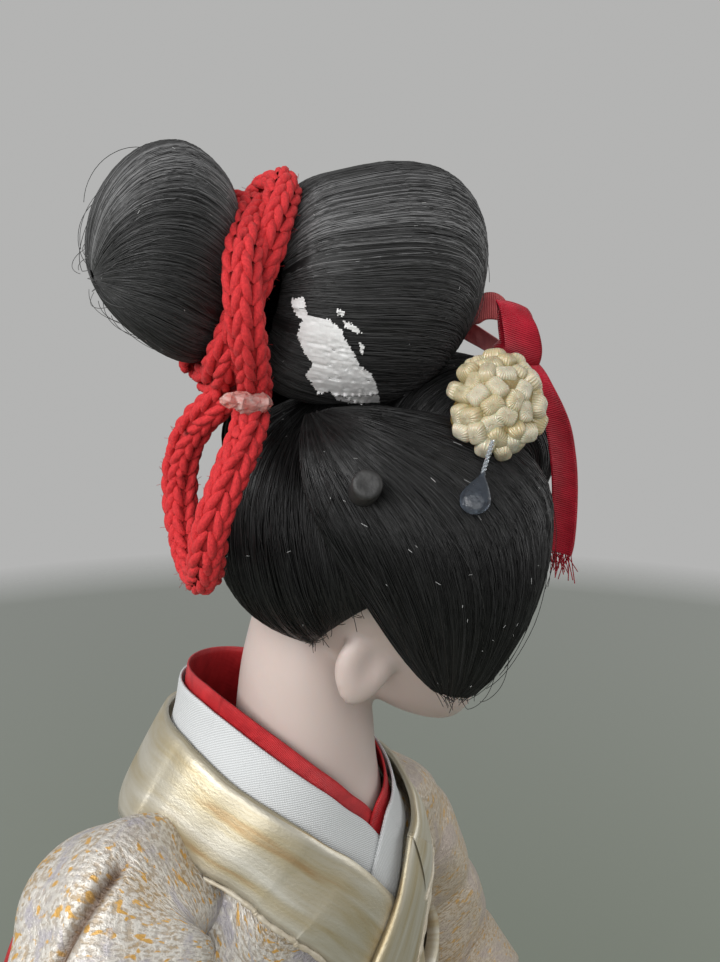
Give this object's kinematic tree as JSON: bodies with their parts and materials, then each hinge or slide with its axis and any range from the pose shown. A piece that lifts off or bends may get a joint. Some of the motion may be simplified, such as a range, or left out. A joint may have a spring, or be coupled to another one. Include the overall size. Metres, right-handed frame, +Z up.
{
  "type": "kimono doll",
  "caption": "Standing kimono doll on a lacquered base, with a turning bowed head, black bow-shaped topknot tied with red cord, pull-out hair flower, hanging glass drop and turning hands.",
  "frame": {"origin": "middle of the underside of the base felt", "axes": "+Z up, the doll's body faces -Y, its right hand is at -X; the head is stored as pictured, turned 58 degrees to the doll's left and bowed 14 degrees"},
  "size_m": [0.13, 0.116, 0.3709],
  "materials": {
    "felt": "felted",
    "lacquer": "black gloss lacquer",
    "wood": "plain turned",
    "straw": "wound straw and paper",
    "skin": "smooth pale coat",
    "hair": "glossy black threads",
    "former": "white papier-mache",
    "peg": "dull black",
    "red_cord": "knitted tubular cord",
    "red_silk": "ribbed satin",
    "white_silk": "fine dotted weave",
    "gold_cloth": "gold lame",
    "brocade": "cream, silver and gold brocade",
    "pink_silk": "crepe",
    "cream": "ribbed ribbon",
    "cotton": "plain weave",
    "steel": "wire",
    "glass": "frosted grey-blue",
    "glue": "clear hot glue"
  },
  "bodies": {
    "body": {"base_felt": "felt", "base_board": "lacquer", "leg_rod_right": "wood", "leg_rod_left": "wood", "sandal_right": "red_silk", "sandal_left": "red_silk", "sock_right": "cotton", "sock_left": "cotton", "sandal_strap_right": "red_cord", "sandal_strap_left": "red_cord", "arm_core_right": "straw", "arm_core_left": "straw", "sleeve_right": "brocade", "sleeve_left": "brocade", "sleeve_lining_right": "red_silk", "sleeve_lining_left": "red_silk", "body_core": "straw", "neck_bush": "wood", "skirt": "brocade", "skirt_overlap_panel": "brocade", "hem_roll": "red_silk", "bodice": "brocade", "collar_red": "red_silk", "collar_white": "white_silk", "collar_gold": "gold_cloth", "obi_wrap": "gold_cloth", "obi_cord": "red_cord", "obi_cord_knot": "red_cord", "obi_drum": "red_silk", "obi_pad": "pink_silk", "obi_tail": "red_silk"},
    "head": {"head": "skin", "hair_back": "hair", "hair_wing_right": "hair", "hair_wing_left": "hair", "hair_front": "hair", "topknot_front": "hair", "topknot_back": "hair", "topknot_former": "former", "hair_peg": "peg", "topknot_cord": "red_cord", "cord_loop": "red_cord", "cord_glue": "glue", "ribbon_loop_near": "red_silk", "ribbon_loop_far": "red_silk", "ribbon_knot": "red_silk", "ribbon_tail": "red_silk"},
    "flower": {"flower_pin": "steel", "flower_disc": "cream", "flower_petals": "cream"},
    "drop": {"drop_link": "steel", "glass_drop": "glass"},
    "right_hand": {"hand_right": "skin"},
    "left_hand": {"hand_left": "skin"}
  },
  "joints": [
    {"name": "head_turn", "type": "hinge", "parent": "body", "child": "head", "pos_m": [0, 0.001, 0.27], "axis": [0, 0, 1], "range_deg": [-95, 10]},
    {"name": "flower_pull", "type": "slide", "parent": "head", "child": "flower", "axis": [-0.5287, -0.5892, 0.611], "range_m": [0, 0.006]},
    {"name": "drop_swing", "type": "hinge", "parent": "flower", "child": "drop", "pos_m": [-0.00596, -0.03151, 0.3365], "axis": [-0.7613, -0.2685, 0.5901], "range_deg": [0, 20]},
    {"name": "right_hand_twist", "type": "hinge", "parent": "body", "child": "right_hand", "pos_m": [-0.0355, -0.0325, 0.222], "axis": [0.4947, -0.8245, -0.2748], "range_deg": [-25, 25]},
    {"name": "left_hand_twist", "type": "hinge", "parent": "body", "child": "left_hand", "pos_m": [0.0335, -0.027, 0.2135], "axis": [-0.4768, -0.8581, -0.1906], "range_deg": [-25, 25]}
  ]
}
